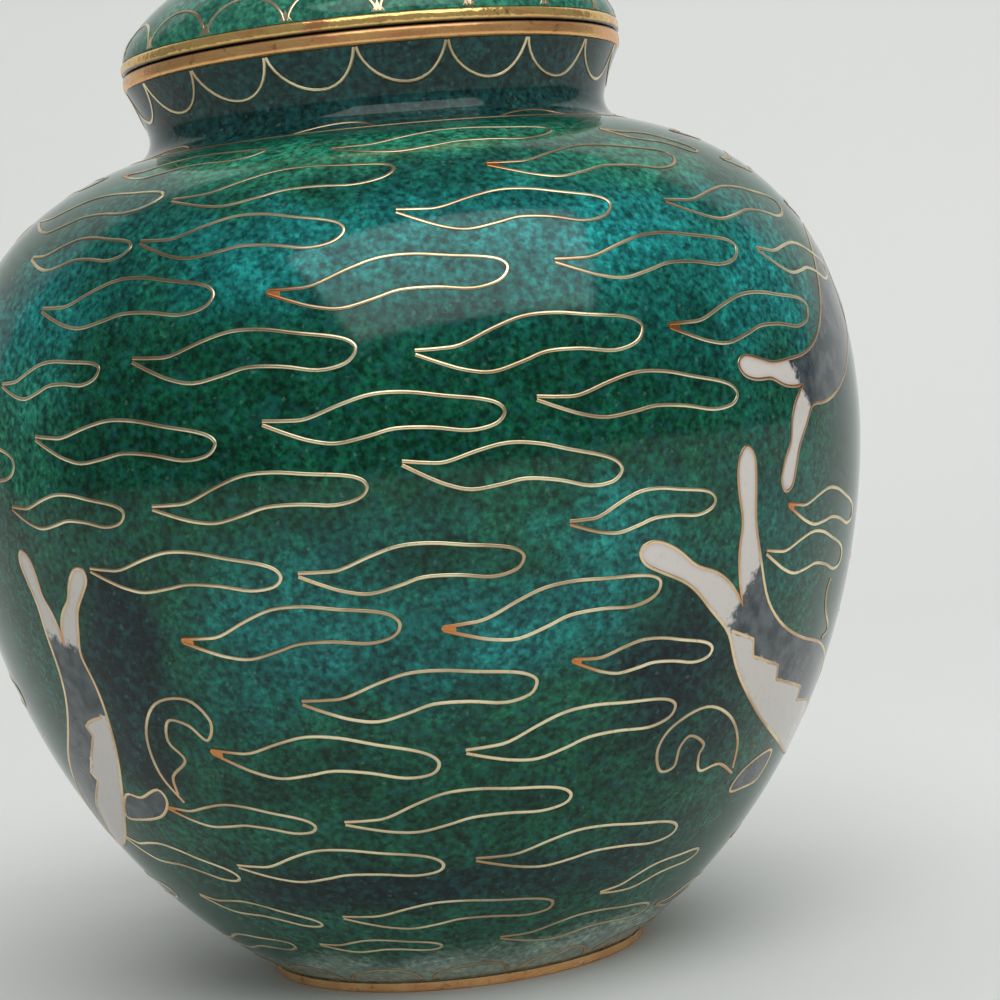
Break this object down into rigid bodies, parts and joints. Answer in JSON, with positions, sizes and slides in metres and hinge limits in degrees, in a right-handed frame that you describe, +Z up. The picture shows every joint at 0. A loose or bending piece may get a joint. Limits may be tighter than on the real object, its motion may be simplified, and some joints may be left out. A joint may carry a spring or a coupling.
{
  "type": "cloisonne ginger jar",
  "caption": "Round-shouldered enamelled ginger jar with brass foot and mouth bands and a lift-off domed lid, fish and ripples in inlaid wire.",
  "frame": {"origin": "middle of the foot band's underside, on the surface that the jar stands on", "axes": "+Z up along the jar's axis, -Y towards the side that the picture shows"},
  "size_m": [0.1, 0.1, 0.1145],
  "materials": {
    "jar_enamel": "glossy speckled green and teal enamel with inlaid wires",
    "lid_enamel": "glossy speckled green enamel with inlaid wires",
    "foot_brass": "worn gilding, satin",
    "mouth_brass": "worn coppery gilding, satin",
    "lid_brass": "bright gilding, uneven soldered edges",
    "inlay_wire": "polished fine wire",
    "fish_enamel": "glossy white and grey enamel"
  },
  "bodies": {
    "root": {"jar_body": "jar_enamel", "foot_band": "foot_brass", "mouth_band": "mouth_brass", "lid_band": "lid_brass", "lid_shell": "lid_enamel"}
  },
  "joints": []
}
